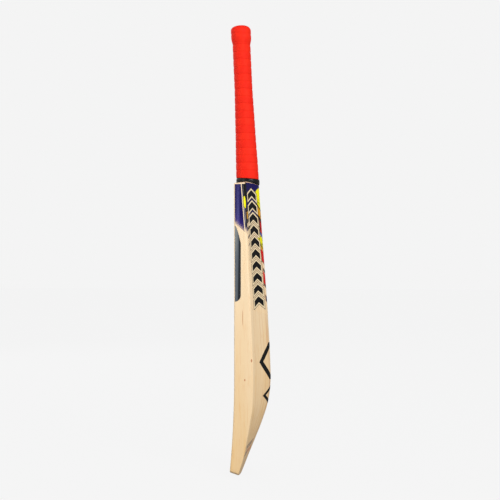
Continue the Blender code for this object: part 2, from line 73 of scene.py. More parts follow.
# height, thickness of the blade's edge
EDGE_STATIONS = (
    (0, 15.4), (15, 18.1), (28, 21.2), (48, 25.0), (71, 27.9), (108, 32.4), (142, 35.8),
    (190, 36.0), (271, 33.4), (350, 29.9), (430, 26.6), (500, 22.8), (557, 19.6),
)
# height, depth of the ridge
RIDGE_STATIONS = (
    (0, 6.6), (14, 12.4), (44, 24.2), (74, 36.5), (105, 48.6), (135, 58.3), (162, 63.3),
    (188, 64.9), (219, 64.1), (295, 60.2), (379, 54.4), (486, 46.6), (557, 41.8),
)
TOE_KICK = 10.0  # how far the face comes forward at the toe
TOE_KICK_FROM = 190.0
BOW_FROM = 400.0
BOW = 0.003
TOE_SLANT = 0.34
TOE_SLANT_FROM = 60.0
TOE_SLANT_REACH = 6.8
TOE_RISE = 4.3
TOE_ARC = 9.0
TOE_CORNER = 6.0
TOE_ROUND_HEIGHT = 3.6
TOE_ROUND_INSET = 1.7
FACE_FLAT = 32.0  # half width of the flat middle of the face
FACE_CROWN = 1.2
RIDGE_ROUND = 7.0
BACK_HOLLOW = 0.28
FACE_CORNER_RADIUS = 2.4
SPLICE_LENGTH = 140.0
SPLICE_TOP_HALF = 17.5
SPLICE_TIP_HALF = 3.0
SPLICE_CLOSE_HALF = 20.5  # half width of the blade's last ring
# steps round a blade ring
FACE_STEPS = 30
BACK_STEPS = 44
CORNER_STEPS = 5
EDGE_STEPS = 6
BLADE_SHARP = 38  # degrees

# ---- the handle's lines --------------------------------------------------------------
LEAN_LOW = (565.0, 20.9)  # height and depth of the handle's centre line
LEAN_HIGH = (836.0, 8.5)
# height, half width, half depth
HANDLE_STATIONS = (
    (540, 20.0, 21.9), (565, 19.5, 21.5), (600, 18.9, 20.7), (638, 18.2, 19.4),
    (676, 17.8, 18.6), (706, 17.5, 17.8), (740, 17.3, 17.1), (857, 17.3, 17.0),
)


def station_value(table, z, column=1):
    """Smooth value of a column at this height, without overshoot between stations."""
    heights = [row[0] for row in table]
    values = [row[column] for row in table]
    if z <= heights[0]:
        return values[0]
    if z >= heights[-1]:
        return values[-1]
    slopes = [
        (values[k + 1] - values[k]) / (heights[k + 1] - heights[k])
        for k in range(len(heights) - 1)
    ]
    tangents = [slopes[0]]
    for below, above in zip(slopes, slopes[1:]):
        tangents.append(0.0 if below * above <= 0 else 2 * below * above / (below + above))
    tangents.append(slopes[-1])
    i = max(k for k in range(len(heights) - 1) if heights[k] <= z)
    span = heights[i + 1] - heights[i]
    t = (z - heights[i]) / span
    return (
        values[i] * (2 * t**3 - 3 * t**2 + 1)
        + tangents[i] * span * (t**3 - 2 * t**2 + t)
        + values[i + 1] * (3 * t**2 - 2 * t**3)
        + tangents[i + 1] * span * (t**3 - t**2)
    )


def ease(t):
    t = min(1.0, max(0.0, t))
    return t * t * (3 - 2 * t)


def face_plane(z):
    low = max(0.0, TOE_KICK_FROM - z) / TOE_KICK_FROM
    return -BOW * max(0.0, z - BOW_FROM) - TOE_KICK * low * low


def face_y(x, z):
    over = max(0.0, abs(x) - FACE_FLAT) / (BLADE_HALF_WIDTH - FACE_FLAT)
    return face_plane(z) + FACE_CROWN * over * over


def back_y(x, z):
    edge = face_plane(z) + station_value(EDGE_STATIONS, z)
    ridge = max(edge, station_value(RIDGE_STATIONS, z))
    reach = math.hypot(BLADE_HALF_WIDTH, RIDGE_ROUND) - RIDGE_ROUND
    out = (math.hypot(x, RIDGE_ROUND) - RIDGE_ROUND) / reach
    return edge + (ridge - edge) * (1 - out) * (1 - BACK_HOLLOW * out)


def shoulder_shear(z, y):
    """How far the willow's top is lowered at this depth."""
    over = max(0.0, y - SHOULDER_LEAN_FROM)
    under = max(0.0, SHOULDER_LEAN_FROM - y)
    share = ease((z - (SHOULDER_Z - SHOULDER_LEAN_ZONE)) / SHOULDER_LEAN_ZONE)
    return -share * (SHOULDER_LEAN * over + SHOULDER_TIP * under)


def centre_y(z):
    (z0, y0), (z1, y1) = LEAN_LOW, LEAN_HIGH
    return y0 + (y1 - y0) * (z - z0) / (z1 - z0)


def handle_half(z):
    """Half width and half depth of the handle."""
    return station_value(HANDLE_STATIONS, z, 1), station_value(HANDLE_STATIONS, z, 2)


def splice_half(z):
    t = (z - (SHOULDER_Z - SPLICE_LENGTH)) / SPLICE_LENGTH
    return SPLICE_TIP_HALF + (SPLICE_TOP_HALF - SPLICE_TIP_HALF) * t


def back_corner_radius(z):
    """The corner between edge and back is softer high up the blade and crisp near the toe."""
    return 1.5 + 2.3 * ease((z - 180) / 260)


# ---- mesh helpers --------------------------------------------------------------------
def mark_sharp(work, degrees):
    for edge in work.edges:
        if len(edge.link_faces) == 2 and edge.calc_face_angle(0) > math.radians(degrees):
            edge.smooth = False


def add_mesh(name, points, faces, mat, rounded=True, sharp=None):
    """Closed mesh from design points; edges that turn more than `sharp` degrees stay sharp."""
    mesh = bpy.data.meshes.new(name)
    mesh.from_pydata(
        [(x / 1000, (y + FACE_PLANE) / 1000, (z + DROP) / 1000) for x, y, z in points], [], faces
    )
    work = bmesh.new()
    work.from_mesh(mesh)
    bmesh.ops.remove_doubles(work, verts=work.verts, dist=2e-7)
    bmesh.ops.triangulate(work, faces=[f for f in work.faces if len(f.verts) > 4])
    bmesh.ops.recalc_face_normals(work, faces=work.faces)
    if work.calc_volume(signed=True) < 0:
        bmesh.ops.reverse_faces(work, faces=work.faces)
    if sharp is not None:
        mark_sharp(work, sharp)
    work.to_mesh(mesh)
    work.free()
    for face in mesh.polygons:
        face.use_smooth = rounded
    mesh.materials.append(mat)
    made = bpy.data.objects.new(name, mesh)
    bpy.context.scene.collection.objects.link(made)
    return made


def bridge(rings, loop=False):
    """Points and quads of a skin over equal rings; loop joins the last ring to the first."""
    count = len(rings[0])
    points = [point for ring in rings for point in ring]
    faces = []
    for r in range(len(rings) if loop else len(rings) - 1):
        low, high = r * count, ((r + 1) % len(rings)) * count
        for k in range(count):
            j = (k + 1) % count
            faces.append((low + k, low + j, high + j, high + k))
    return points, faces


def hand_over(piece, slot, *nodes):
    if nodes:
        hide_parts(*nodes)
    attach(piece, "root")


# ---- node helpers --------------------------------------------------------------------
class Value:
    """An output inside a Sheet; arithmetic on it adds math nodes."""

    def __init__(self, sheet, socket):
        self.sheet = sheet
        self.socket = socket

    def __add__(self, other):
        return self.sheet.math("ADD", self, other)

    def __radd__(self, other):
        return self.sheet.math("ADD", other, self)

    def __sub__(self, other):
        return self.sheet.math("SUBTRACT", self, other)

    def __rsub__(self, other):
        return self.sheet.math("SUBTRACT", other, self)

    def __mul__(self, other):
        return self.sheet.math("MULTIPLY", self, other)

    def __truediv__(self, number):
        """Division by a plain number, as a product with its inverse."""
        return self * (1 / number)

    def __abs__(self):
        return self.sheet.math("ABSOLUTE", self)

    def fract(self):
        return self.sheet.math("FRACT", self)

    def sqrt(self):
        return self.sheet.math("SQRT", self)

    def sine(self):
        return self.sheet.math("SINE", self)

    def rise(self, start, end):
        """0 at start, 1 at end, smooth between them and level outside."""
        made = self.sheet.node("ShaderNodeMapRange", interpolation_type="SMOOTHSTEP")
        self.sheet.fill(made, {"Value": self, "From Min": start, "From Max": end})
        return Value(self.sheet, made.outputs["Result"])

    def fall(self, start, end):
        """1 at start, 0 at end."""
        return 1.0 - self.rise(start, end)

    def between(self, low, high, soft):
        """1 between low and high, with borders this soft."""
        lower, upper = (
            self.rise(
                self.sheet.math("SUBTRACT", border, soft), self.sheet.math("ADD", border, soft)
            )
            for border in (low, high)
        )
        return lower - upper

    def remap(self, source, target):
        """Straight, clamped change from the source range to the target range."""
        made = self.sheet.node("ShaderNodeMapRange", clamp=True)
        self.sheet.fill(made, {
            "Value": self, "From Min": source[0], "From Max": source[1],
            "To Min": target[0], "To Max": target[1],
        })
        return Value(self.sheet, made.outputs["Result"])

    def cover(self, tint, mask):
        """This colour with an opaque tint laid over it where the mask is 1."""
        return self.sheet.mix(mask, self, tint)

    def stain(self, tint, mask):
        """This colour multiplied by a tint where the mask is 1."""
        return self.sheet.mix(mask, self, tint, blend="MULTIPLY")


class Sheet:
    """A material under construction; x, y and z are design millimetres."""

    def __init__(self, name):
        self.mat = bpy.data.materials.new(name)
        self.mat.use_nodes = True
        self.tree = self.mat.node_tree
        self.shader = self.tree.nodes["Principled BSDF"]
        where = self.node("ShaderNodeTexCoord").outputs["Object"]
        scaled = self.node("ShaderNodeVectorMath", operation="SCALE")
        self.tree.links.new(where, scaled.inputs[0])
        scaled.inputs["Scale"].default_value = 1000.0
        shifted = self.node("ShaderNodeVectorMath", operation="SUBTRACT")
        self.tree.links.new(scaled.outputs[0], shifted.inputs[0])
        shifted.inputs[1].default_value = (0.0, FACE_PLANE, DROP)
        parts = self.node("ShaderNodeSeparateXYZ")
        self.tree.links.new(shifted.outputs[0], parts.inputs[0])
        self.x, self.y, self.z = (Value(self, socket) for socket in parts.outputs)

    def node(self, kind, **settings):
        made = self.tree.nodes.new(kind)
        for key, value in settings.items():
            setattr(made, key, value)
        return made

    def put(self, value, socket):
        """Links a Value, or sets a number or an RGB colour."""
        if isinstance(value, Value):
            self.tree.links.new(value.socket, socket)
        elif isinstance(value, tuple):
            socket.default_value = (*value, 1.0)
        else:
            socket.default_value = value

    def fill(self, node, values):
        for key, value in values.items():
            self.put(value, node.inputs[key])

    def math(self, operation, *operands):
        made = self.node("ShaderNodeMath", operation=operation)
        self.fill(made, dict(enumerate(operands)))
        return Value(self, made.outputs[0])

    def mix(self, mask, under, over, blend="MIX"):
        made = self.node("ShaderNodeMix", data_type="RGBA", blend_type=blend)
        self.fill(made, {"Factor": mask, 6: under, 7: over})
        return Value(self, made.outputs[2])

    def vector(self, x, y, z):
        made = self.node("ShaderNodeCombineXYZ")
        self.fill(made, {0: x, 1: y, 2: z})
        return Value(self, made.outputs[0])

    def noise(self, x, y, z, detail=2.0, rough=0.5, distortion=0.0):
        made = self.node("ShaderNodeTexNoise")
        self.fill(made, {
            "Vector": self.vector(x, y, z), "Scale": 1.0, "Detail": detail,
            "Roughness": rough, "Distortion": distortion,
        })
        return Value(self, made.outputs["Fac"])

    def grain(self, per_mm, **settings):
        """Noise with its own frequency along x, y and z."""
        along_x, along_y, along_z = per_mm
        return self.noise(self.x * along_x, self.y * along_y, self.z * along_z, **settings)

    def cells(self, x, y, z, feature="F1"):
        """Outputs of a Voronoi texture."""
        made = self.node("ShaderNodeTexVoronoi", feature=feature)
        self.fill(made, {"Vector": self.vector(x, y, z), "Scale": 1.0})
        return made.outputs

    def ramp(self, value, *stops):
        made = self.node("ShaderNodeValToRGB")
        elements = made.color_ramp.elements
        while len(elements) < len(stops):
            elements.new(0.5)
        for element, (position, colour) in zip(elements, stops):
            element.position = position
            element.color = (*colour, 1.0)
        self.put(value, made.inputs["Fac"])
        return Value(self, made.outputs["Color"])

    def finish(self, colour, rough, bump, height, coat=0.0, coat_rough=0.2, specular=0.5):
        """Sets the shader; height is the depth of the bumps in mm."""
        self.fill(self.shader, {
            "Base Color": colour, "Roughness": rough, "Coat Weight": coat,
            "Coat Roughness": coat_rough, "Specular IOR Level": specular,
        })
        made = self.node("ShaderNodeBump")
        self.fill(made, {"Strength": 1.0, "Distance": height / 1000, "Height": bump})
        self.tree.links.new(made.outputs["Normal"], self.shader.inputs["Normal"])
        return self.mat


def srgb(red, green, blue):
    return tuple(
        c / 12.92 if c <= 0.04045 else ((c + 0.055) / 1.055) ** 2.4
        for c in (red / 255, green / 255, blue / 255)
    )


# ---- willow --------------------------------------------------------------------------
PALE_WILLOW = srgb(253, 226, 186)
WARM_WILLOW = srgb(244, 208, 154)
TAN_WILLOW = srgb(235, 195, 136)
# knots and a thin line on the +x edge: depth, height, half depth, half height, strength, tint
EDGE_KNOTS = (
    (20.9, 188.0, 1.5, 2.6, 0.8, srgb(196, 118, 62)),
    (17.1, 303.0, 0.7, 18.0, 0.9, srgb(196, 140, 96)),
    (33.4, 224.0, 1.6, 3.8, 0.8, srgb(188, 112, 60)),
)
KNOT_LEAN = 0.0  # depth gained per mm of height
BAR_PITCH = 5.6


def willow_look(sheet):
    """(colour, fibres, fine) of pale willow: growth lines up the blade, fibres, faint figure."""
    x, y, z = sheet.x, sheet.y, sheet.z
    wander = sheet.grain(per_mm=(0.012, 0.012, 0.0045), detail=1.0)
    across = x + (wander - 0.5) * 9.0 + y * 0.16
    # growth lines, unevenly spaced
    uneven = sheet.noise(across * 0.11, 0.0, 0.0, detail=0.0) * 14.0
    phase = ((across + uneven) * 0.118).fract()
    lines = phase.rise(0.80, 0.95) * phase.fall(0.955, 0.995)
    broad = sheet.noise(across * 0.05, y * 0.05, z * 0.0035)
    fibres = sheet.grain(per_mm=(1.5, 1.5, 0.02), detail=4.0, rough=0.65)
    fine = sheet.grain(per_mm=(4.5, 4.5, 0.06), rough=0.6)
    ripple = sheet.grain(per_mm=(0.14, 0.3, 0.03), distortion=1.2)
    # darker towards the toe
    tone = z.remap((0.0, 400.0), (1.0, 0.0)) * 0.52 + (broad - 0.5) * 0.55
    colour = sheet.ramp(tone, (0.0, PALE_WILLOW), (0.5, WARM_WILLOW), (1.0, TAN_WILLOW))
    colour = colour.stain(srgb(226, 178, 118), mask=fibres.rise(0.52, 0.75) * 0.30)
    colour = colour.stain(srgb(214, 170, 120), mask=fine.rise(0.5, 0.8) * 0.18)
    colour = colour.stain(srgb(236, 196, 140), mask=ripple.rise(0.55, 0.72) * 0.22)
    # golden patches, stronger low on the blade
    golden = sheet.noise(across * 0.13, y * 0.16, z * 0.011 + 7.0, detail=3.0, rough=0.55)
    golden = golden.rise(0.50, 0.68) * z.remap((60.0, 420.0), (0.42, 0.12))
    colour = colour.stain(srgb(252, 236, 196), mask=golden)
    # the growth lines fade in and out along the blade
    fade = sheet.noise(across * 0.4, 3.0, z * 0.012, detail=1.0)
    colour = colour.stain(srgb(206, 150, 92), mask=lines * fade.rise(0.30, 0.6) * 0.42)
    # pin specks and short brown flecks, in a share of the cells
    speck = sheet.cells(x * 0.045, y * 0.045, z * 0.016)
    chosen = sheet.node("ShaderNodeSeparateColor")
    sheet.put(Value(sheet, speck["Color"]), chosen.inputs[0])
    dots = Value(sheet, speck["Distance"]).fall(0.035, 0.075)
    dots = dots * Value(sheet, chosen.outputs[0]).rise(0.62, 0.66)
    colour = colour.stain(srgb(178, 108, 52), mask=dots * 0.75)
    return colour, fibres, fine


def oval(sheet, depth, height, half_depth, half_height):
    """Soft oval mask at this depth and height."""
    leaning = (sheet.z - height) * KNOT_LEAN
    dy = (sheet.y - depth - leaning) / half_depth
    dz = (sheet.z - height) / half_height
    return (dy * dy + dz * dz).fall(0.3, 1.0)


def make_willow():
    sheet = Sheet("willow_fine")
    x, y, z = sheet.x, sheet.y, sheet.z
    colour, fibres, fine = willow_look(sheet)
    side = x.rise(50.0, 52.0)
    for *place, strength, tint in EDGE_KNOTS:
        colour = colour.stain(tint, mask=oval(sheet, *place) * side * strength)
    # two short slanted rows of printed bars on the +x slope of the back above the toe
    slant = z + (x - 30.0) * 0.30
    bars = ((x + z * 0.5) / BAR_PITCH).fract().between(0.10, 0.66, soft=0.06)
    worn = sheet.grain(per_mm=(0.5, 0.5, 0.5), detail=3.0, rough=0.6)
    two_inks = sheet.mix(
        sheet.math("GREATER_THAN", x, 33.0), srgb(206, 92, 62), srgb(86, 66, 80)
    )
    # slanted height from and to, x from and to, ink
    for low, high, inner, outer, ink in (
        (60.5, 69.5, 15.0, 45.0, srgb(84, 70, 84)),
        (49.0, 57.5, 12.0, 48.0, two_inks),
    ):
        row = bars * slant.between(low, high, soft=0.6) * x.between(inner, outer, soft=0.6)
        row = row * y.rise(9.0, 11.0)
        colour = colour.cover(ink, mask=row * worn.rise(0.22, 0.44))
    colour = colour.stain(srgb(236, 206, 160), mask=z.fall(6.0, 14.0) * 0.10)
    return sheet.finish(
        colour, rough=0.40 + fibres * 0.16, bump=fibres * 0.6 + fine * 0.4, height=0.05,
        coat=0.18, coat_rough=0.32,
    )


# ---- blade ---------------------------------------------------------------------------
def blade_ring(z_nominal, half, inset):
    """Ring round the blade from the -x end of its face; near the toe it slants and arches."""
    toe_share = ease((TOE_SLANT_FROM - z_nominal) / TOE_SLANT_FROM)
    slant = TOE_SLANT * toe_share
    arc = TOE_ARC * toe_share
    middle = (face_plane(z_nominal) + back_y(0, z_nominal)) / 2

    def place(x, side, off):
        """side runs from 0 on the face to 1 on the back; off is a distance inwards."""
        x = max(-half, min(half, x))
        z = z_nominal
        for _ in range(3):  # depth and height depend on each other
            low, high = face_y(x, z) + inset + off, back_y(x, z) - inset - off
            if side <= 0:
                y = low
            elif side >= 1:
                y = high
            else:
                y = low + (high - low) * side
            z = z_nominal - slant * (y - middle) + arc * (x / BLADE_HALF_WIDTH) ** 2
            z += shoulder_shear(z_nominal, y)
        return (x, y, z)

    wide = half - inset
    face_round = min(FACE_CORNER_RADIUS, wide * 0.2)
    back_round = min(back_corner_radius(z_nominal), wide * 0.2)
    flat = wide - face_round
    ring = [place((-1 + 2 * k / FACE_STEPS) * flat, 0, 0) for k in range(FACE_STEPS + 1)]
    edge = []  # the +x edge, from face to back
    for k in range(1, CORNER_STEPS + 1):
        angle = math.pi / 2 * k / CORNER_STEPS
        edge.append((flat + face_round * math.sin(angle), 0, face_round * (1 - math.cos(angle))))
    for k in range(1, EDGE_STEPS):
        t = k / EDGE_STEPS
        edge.append((wide, t, face_round + (back_round - face_round) * t))
    flat = wide - back_round
    for k in range(CORNER_STEPS + 1):
        angle = math.pi / 2 * (1 - k / CORNER_STEPS)
        edge.append((flat + back_round * math.sin(angle), 1, back_round * (1 - math.cos(angle))))
    ring += [place(x, side, off) for x, side, off in edge]
    for k in range(1, BACK_STEPS):
        t = 1 - 2 * k / BACK_STEPS
        # closer together near the ridge
        ring.append(place(flat * (abs(t) ** 1.25) * (1 if t >= 0 else -1), 1, 0))
    ring += [place(-x, side, off) for x, side, off in reversed(edge)]
    return ring


def blade_rings():
    rings = []
    toe = TOE_SLANT * TOE_SLANT_REACH + TOE_RISE
    for k in range(7):  # rounded toe
        angle = math.pi / 2 * k / 6
        inward = 1 - math.sin(angle)
        rings.append(
            blade_ring(
                toe + TOE_ROUND_HEIGHT * (1 - math.cos(angle)),
                BLADE_HALF_WIDTH - TOE_CORNER * inward,
                TOE_ROUND_INSET * inward**1.3,
            )
        )
    top = SHOULDER_Z - SHOULDER_DROP
    z = toe + 9
    while z < top - SHOULDER_ROUND - 1:
        rings.append(blade_ring(z, BLADE_HALF_WIDTH, 0))
        z += 4.0 if z < 70 else 6.0
    rounded_half = BLADE_HALF_WIDTH - SHOULDER_ROUND
    for k in range(9):  # rounded shoulder
        angle = math.radians(86 * k / 8)
        height = top - SHOULDER_ROUND * (1 - math.sin(angle))
        rings.append(blade_ring(height, rounded_half + SHOULDER_ROUND * math.cos(angle), 0))
    for t in (0.2, 0.4, 0.6, 0.8, 1.0):  # the top narrows towards the handle
        half = (1 - t) * rounded_half + t * SPLICE_CLOSE_HALF
        rings.append(blade_ring(top + SHOULDER_DROP * t, half, 0))
    return rings


def cap_faces(points, base, count):
    """Triangles that close a ring, zipped between its face side and its back side."""
    turn = FACE_STEPS + (2 * CORNER_STEPS + EDGE_STEPS) // 2  # middle of the +x edge
    front = [base + k for k in range(turn + 1)]
    back = [base + count - 1 - k for k in range(count - turn - 1)]
    faces = []
    i = j = 0
    while i < len(front) - 1 or j < len(back) - 1:
        front_x = points[front[min(i + 1, len(front) - 1)]][0]
        back_x = points[back[min(j + 1, len(back) - 1)]][0]
        if j >= len(back) - 1 or (i < len(front) - 1 and front_x <= back_x):
            faces.append((front[i], front[i + 1], back[j]))
            i += 1
        else:
            faces.append((front[i], back[j + 1], back[j]))
            j += 1
    return faces


def make_splice_cutter(mat):
    """Wedge, wide at the top, that reaches through the blade from front to back."""
    top, tip = SHOULDER_Z + 30, SHOULDER_Z - SPLICE_LENGTH
    outline = [
        (-splice_half(top), top), (-splice_half(tip), tip),
        (splice_half(tip), tip), (splice_half(top), top),
    ]
    points, faces = bridge([[(x, y, z) for x, z in outline] for y in (-30.0, 100.0)])
    faces += [(0, 1, 2, 3), (4, 5, 6, 7)]
    return add_mesh("splice_cutter", points, faces, mat, rounded=False)


def make_blade(mat):
    rings = blade_rings()
    points, faces = bridge(rings)
    count = len(rings[0])
    for base in (0, (len(rings) - 1) * count):
        faces += cap_faces(points, base, count)
    blade = add_mesh("blade_fine", points, faces, mat, sharp=BLADE_SHARP)
    cutter = make_splice_cutter(mat)
    cut = blade.modifiers.new("splice", "BOOLEAN")
    cut.operation = "DIFFERENCE"
    cut.solver = "EXACT"
    cut.object = cutter
    graph = bpy.context.evaluated_depsgraph_get()
    mesh = bpy.data.meshes.new_from_object(blade.evaluated_get(graph))
    blade.modifiers.clear()
    blade.data = mesh
    bpy.data.objects.remove(cutter, do_unlink=True)
    work = bmesh.new()
    work.from_mesh(mesh)
    bmesh.ops.remove_doubles(work, verts=work.verts, dist=5e-7)
    for face in work.faces:
        face.smooth = True
    mark_sharp(work, BLADE_SHARP)
    work.to_mesh(mesh)
    work.free()
    hand_over(blade, "willow", "blade")


# ---- grip ----------------------------------------------------------------------------
GRIP_SIDES = 112
GRIP_WALL = 1.9
RIM_ROUND = 0.9
RIM_DEPTH = 0.2
RIM_DROP_ZONE = 20  # height over which the slant of the rim dies out
RIB_PITCH = 14.0
GROOVE_DEPTH = 0.48
GROOVE_HALF = 1.15
RIB_CROWN = 0.14
COLLAR_FROM = TOP_Z - 34.0
COLLAR_INWARD = -2.0  # the collar stands outside the handle's outline
# rolled collar: height over COLLAR_FROM, distance inside the handle's outline
COLLAR_PROFILE = (
    (-1.4, 0.1), (-0.6, 0.0), (0.2, -0.25), (1.2, -0.6), (2.6, -0.95), (4.6, -1.35),
    (7.0, -1.75), (9.5, -2.0), (12.0, -2.0), (14.4, -1.95), (15.6, -1.65), (16.4, -1.4),
    (17.2, -1.65), (18.4, -2.0), (21.0, -2.02),
)
END_HEIGHT = 10
END_INWARD = 13
END_TILT = 1.15
HOLLOW_TOP = TOP_Z - 11  # where the inside starts to close
HOLLOW_HEIGHTS = (600, 638, 676, 706, 740, 800, HOLLOW_TOP)


def handle_ring(z, inward, lift=None):
    """Ring this far inside the handle's outline; lift(angle, y) moves its points up."""
    wide, deep = handle_half(z)
    ring = []
    for k in range(GRIP_SIDES):
        angle = 2 * math.pi * k / GRIP_SIDES
        y = centre_y(z) + (deep - inward) * math.cos(angle)
        x = (wide - inward) * math.sin(angle)
        ring.append((x, y, z + (lift(angle, y) if lift else 0.0)))
    return ring


def groove_distance(z):
    """Share of a pitch between this height and the nearest groove."""
    phase = ((z - GRIP_FROM) / RIB_PITCH) % 1.0
    return min(phase, 1 - phase)


def grip_depth(z):
    """How far the ribbed surface lies inside the handle's outline at this height."""
    near = groove_distance(z)
    groove = math.exp(-((near * RIB_PITCH / GROOVE_HALF) ** 2))
    return GROOVE_DEPTH * groove + RIB_CROWN * (1 - 2 * near) ** 3


def rim_lift(z):
    """The grip's lower rim comes lower at the back; higher up its rings are level."""
    share = max(0.0, 1 - (z - GRIP_FROM) / RIM_DROP_ZONE)
    return lambda angle, y: -share * GRIP_SLANT * (1 + math.cos(angle)) / 2


def grip_outer():
    rings = []
    for k in range(6):  # the lower rim is rounded over
        angle = math.pi / 2 * k / 6
        height = GRIP_FROM + RIM_ROUND * (1 - math.cos(angle))
        inward = RIM_ROUND * (1 - math.sin(angle)) + RIM_DEPTH
        rings.append(handle_ring(height, inward, rim_lift(GRIP_FROM)))
    z = GRIP_FROM + RIM_ROUND
    while z < COLLAR_FROM - 1.2:
        plain_depth = RIM_DEPTH * ease((GRIP_FROM + 4 - z) / 3)
        depth = grip_depth(z) if z > GRIP_FROM + 7 else plain_depth
        rings.append(handle_ring(z, depth, rim_lift(z)))
        # finer steps through the grooves
        z += 0.6 if groove_distance(z) * RIB_PITCH < 2.4 else 1.7
    rings += [handle_ring(COLLAR_FROM + up, inward) for up, inward in COLLAR_PROFILE]
    # the end is square to the handle, which leans forward, so its front side lies lower
    lean = (LEAN_LOW[1] - LEAN_HIGH[1]) / (LEAN_HIGH[0] - LEAN_LOW[0])
    for k in range(17):
        angle = math.pi / 2 * k / 16
        share = math.sin(angle)
        z = TOP_Z - END_HEIGHT + END_HEIGHT * share
        back = centre_y(z) + handle_half(z)[1] - COLLAR_INWARD
        rings.append(
            handle_ring(
                z, COLLAR_INWARD + END_INWARD * (1 - math.cos(angle)),
                lambda _, y: END_TILT * lean * share * (y - back),
            )
        )
    return rings


def grip_inner():
    rings = [handle_ring(GRIP_FROM, GRIP_WALL, rim_lift(GRIP_FROM))]
    rings += [handle_ring(z, GRIP_WALL) for z in HOLLOW_HEIGHTS]
    for k in range(1, 9):
        angle = math.pi / 2 * k / 8
        inward = GRIP_WALL + 9.5 * (1 - math.cos(angle))
        rings.append(handle_ring(HOLLOW_TOP + 8.2 * math.sin(angle), inward))
    return rings


def make_grip(mat):
    points, faces = bridge(grip_outer() + grip_inner()[::-1], loop=True)
    hand_over(add_mesh("grip_fine", points, faces, mat, sharp=55), "grip_rubber", "grip")


GRIP_RADIUS = 18.0  # turns an angle round the handle into millimetres of surface
HATCH_PITCH = 2.1
HATCH_SLOPE = 0.9


def make_grip_mat():
    """Red rubber with fine hatching that changes direction from rib to rib; painted sheen and
    shade follow the hatching and the grooves.
    """
    sheet = Sheet("grip_rubber_fine")
    x, y, z = sheet.x, sheet.y, sheet.z
    (low_z, low_y), (high_z, high_y) = LEAN_LOW, LEAN_HIGH
    centre = z.remap((low_z, high_z), (low_y, high_y))
    around = sheet.math("ARCTAN2", x, y - centre) * GRIP_RADIUS
    rib = (z - GRIP_FROM) / RIB_PITCH
    odd = sheet.math("GREATER_THAN", (rib * 0.5).fract(), 0.5)
    way = odd * 2.0 - 1.0
    hatch = ((around + z * way * HATCH_SLOPE) * (2 * math.pi / HATCH_PITCH)).sine()
    plain = z.rise(COLLAR_FROM - 1.0, COLLAR_FROM + 1.0)
    hatch = hatch * (1.0 - plain)
    grain = sheet.grain(per_mm=(2.2, 2.2, 2.2), detail=3.0, rough=0.6)
    mottled = sheet.grain(per_mm=(0.12, 0.12, 0.06))
    phase = rib.fract()
    near = sheet.math("MINIMUM", phase, 1.0 - phase)
    groove = near.fall(0.03, 0.13) * (1.0 - plain)
    # odd ribs are painted a little lighter, and the hatch ridges lighter than their hollows:
    # painted sheen and shade of the hatching on one red rubber
    tone = mottled * 0.62 + odd * 0.08 + hatch * 0.10
    deep, bright = srgb(242, 32, 13), srgb(255, 50, 22)
    colour = sheet.mix(tone.rise(0.05, 0.75), deep, bright)
    # the grooves between the ribs are darkened a touch: painted shade in the grooves
    colour = colour.stain(srgb(200, 60, 50), mask=groove * 0.02)
    colour = colour.cover(srgb(255, 110, 90), mask=grain.rise(0.62, 0.8) * 0.10)
    return sheet.finish(
        colour, rough=0.58 + grain * 0.14, bump=hatch * 0.55 + grain * 0.5, height=0.11,
        specular=0.15,
    )


# ---- base band -----------------------------------------------------------------------
BAND_Z = 560  # the handle's section here shapes the whole band
BAND_SIDES = 120
BAND_STEPS = 14
LAP_REACH = math.radians(112)  # how far the second turn runs either way from the back
LAP_STEPS = 96
LAP_SIDES = 16


def band_point(angle, t, out):
    """Point on the band: t of the way up, this far outside the handle's surface."""
    wide, deep = handle_half(BAND_Z)
    x = (wide + out) * math.sin(angle)
    y = centre_y(BAND_Z) + (deep + out) * math.cos(angle)
    low = SHOULDER_Z + 0.2 + shoulder_shear(SHOULDER_Z, y)
    high = GRIP_FROM - 0.4 - GRIP_SLANT * (1 + math.cos(angle)) / 2
    return x, y, low + (high - low) * t


def make_first_turn(mat):
    """Closed band with a bulging outside and a shallow dent round its middle."""
    angles = [2 * math.pi * k / BAND_SIDES for k in range(BAND_SIDES)]
    rings = []
    for k in range(BAND_STEPS + 1):
        t = k / BAND_STEPS
        bulge = math.sin(math.pi * t) ** 0.6
        dent = 0.22 * math.exp(-(((t - 0.46) / 0.10) ** 2))
        rings.append([band_point(angle, t, -0.35 + 0.75 * bulge - dent) for angle in angles])
    rings += [[band_point(angle, t, -3.1) for angle in angles] for t in (0.97, 0.03)]
    points, faces = bridge(rings, loop=True)
    piece = add_mesh("base_band_fine", points, faces, mat, sharp=60)
    hand_over(piece, "band_rubber", "base_band")


def make_second_turn(mat):
    """Full height round the back, running out to a point at the top on each side."""
    rings = []
    for k in range(LAP_STEPS + 1):
        angle = -LAP_REACH + 2 * LAP_REACH * k / LAP_STEPS
        share = abs(angle) / LAP_REACH
        low, high = 0.03 + 0.80 * ease((share - 0.30) / 0.70), 0.985
        body = ease((1 - share) / 0.14)
        half = (high - low) / 2 * (0.25 + 0.75 * body)
        ring = []
        for j in range(LAP_SIDES):
            turn = 2 * math.pi * j / LAP_SIDES
            out = 0.25 + (0.15 + 0.62 * body) * math.cos(turn)
            ring.append(band_point(angle, (low + high) / 2 + half * math.sin(turn), out))
        rings.append(ring)
    points, faces = bridge(rings)
    faces += [tuple(range(start, start + LAP_SIDES)) for start in (0, LAP_STEPS * LAP_SIDES)]
    hand_over(add_mesh("base_band_lap", points, faces, mat, sharp=70), "band_rubber")


def make_band_mat():
    sheet = Sheet("band_rubber_fine")
    grain = sheet.grain(per_mm=(0.9, 0.9, 2.6), detail=3.0, rough=0.6)
    stretch = sheet.grain(per_mm=(0.22, 0.22, 1.3))
    colour = sheet.mix(grain.rise(0.35, 0.75), srgb(9, 10, 12), srgb(26, 29, 32))
    return sheet.finish(
        colour, rough=0.22 + grain * 0.22, bump=grain * 0.4 + stretch * 0.8, height=0.18,
        specular=0.24,
    )


# ---- cane, springs and twine (the frame's own solids) ---------------------------------
TWINE_PITCH = 0.9


